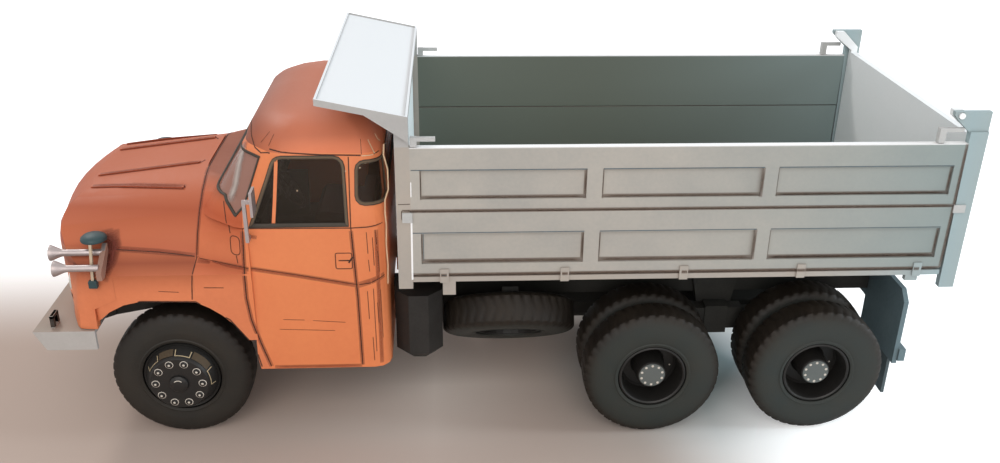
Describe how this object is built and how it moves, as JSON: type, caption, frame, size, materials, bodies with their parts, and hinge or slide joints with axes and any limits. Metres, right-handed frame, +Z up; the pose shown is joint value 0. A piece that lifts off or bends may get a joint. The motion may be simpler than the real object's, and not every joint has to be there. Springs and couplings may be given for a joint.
{
  "type": "card model dump truck",
  "caption": "Card scale model of a bonneted three-axle tipper truck with a tipping bed, swinging tailgate and rolling wheels.",
  "frame": {"origin": "on the floor under the middle of the model's box", "axes": "+X forward, +Y to the vehicle's left, +Z up"},
  "size_m": [0.2188, 0.0814, 0.0891],
  "materials": {
    "orange_card": "printed card, slight sheen, brown airbrushed seams",
    "grey_card": "printed light grey card with grime along the rails",
    "green_card": "dark grey-green printed card",
    "teal_card": "dark teal printed card",
    "black_card": "near-black card",
    "tyre": "matt with brown dust in the tread",
    "wheel_disc": "black printed card with beige outlines",
    "silver": "silver paint, satin",
    "film": "clear film",
    "lamp_film": "clear lens film",
    "seat_card": "dark brown-red card"
  },
  "bodies": {
    "chassis": {"backbone": "black_card", "frame_rails": "black_card", "front_axle": "black_card", "middle_axle": "black_card", "rear_axle": "black_card", "rear_plate": "teal_card", "mud_flaps": "black_card", "bumper": "grey_card", "air_pot": "black_card", "fuel_tank": "black_card", "spare_tyre": "tyre", "spare_disc": "wheel_disc", "spare_carrier": "black_card", "hood": "orange_card", "nose": "orange_card", "grille": "black_card", "fender_left": "orange_card", "fender_right": "orange_card", "headlamps": "lamp_film", "cowl": "orange_card", "door_left": "orange_card", "door_right": "orange_card", "cab_back": "orange_card", "roof": "orange_card", "cab_floor": "black_card", "windscreen": "film", "door_glass": "film", "rear_glass": "film", "seats": "seat_card", "dashboard": "black_card", "steering_wheel": "black_card", "mirrors": "silver", "horns": "silver", "marker_lamps": "teal_card", "bay_walls": "black_card", "bogie_springs": "black_card"},
    "bed": {"bed_floor": "green_card", "front_wall": "grey_card", "canopy": "grey_card", "bed_posts": "grey_card", "bed_subframe": "black_card", "upper_board_left": "grey_card", "upper_board_right": "grey_card", "lower_board_left": "grey_card", "lower_board_right": "grey_card", "hinge_rails": "grey_card", "latches": "silver"},
    "tailgate": {"tailgate": "grey_card"},
    "front_wheel_left": {"front_tyre_left": "tyre", "front_disc_left": "wheel_disc"},
    "front_wheel_right": {"front_tyre_right": "tyre", "front_disc_right": "wheel_disc"},
    "middle_wheel_left": {"middle_tyres_left": "tyre", "middle_dish_left": "wheel_disc"},
    "middle_wheel_right": {"middle_tyres_right": "tyre", "middle_dish_right": "wheel_disc"},
    "rear_wheel_left": {"rear_tyres_left": "tyre", "rear_dish_left": "wheel_disc"},
    "rear_wheel_right": {"rear_tyres_right": "tyre", "rear_dish_right": "wheel_disc"}
  },
  "joints": [
    {"name": "bed_tip", "type": "hinge", "parent": "chassis", "child": "bed", "pos_m": [-0.09885, 0, 0.0382], "axis": [0, -1, 0], "range_deg": [0, 50]},
    {"name": "tailgate_swing", "type": "hinge", "parent": "bed", "child": "tailgate", "pos_m": [-0.10245, 0, 0.0837], "axis": [0, 1, 0], "range_deg": [0, 70]},
    {"name": "front_wheel_left_spin", "type": "hinge", "parent": "chassis", "child": "front_wheel_left", "pos_m": [0.07715, 0, 0.0169], "axis": [0, 1, 0], "continuous": true},
    {"name": "front_wheel_right_spin", "type": "hinge", "parent": "chassis", "child": "front_wheel_right", "pos_m": [0.07715, 0, 0.0169], "axis": [0, 1, 0], "continuous": true},
    {"name": "middle_wheel_left_spin", "type": "hinge", "parent": "chassis", "child": "middle_wheel_left", "pos_m": [-0.03815, 0, 0.0169], "axis": [0, 1, 0], "continuous": true},
    {"name": "middle_wheel_right_spin", "type": "hinge", "parent": "chassis", "child": "middle_wheel_right", "pos_m": [-0.03815, 0, 0.0169], "axis": [0, 1, 0], "continuous": true},
    {"name": "rear_wheel_left_spin", "type": "hinge", "parent": "chassis", "child": "rear_wheel_left", "pos_m": [-0.0794, 0, 0.0169], "axis": [0, 1, 0], "continuous": true},
    {"name": "rear_wheel_right_spin", "type": "hinge", "parent": "chassis", "child": "rear_wheel_right", "pos_m": [-0.0794, 0, 0.0169], "axis": [0, 1, 0], "continuous": true}
  ]
}
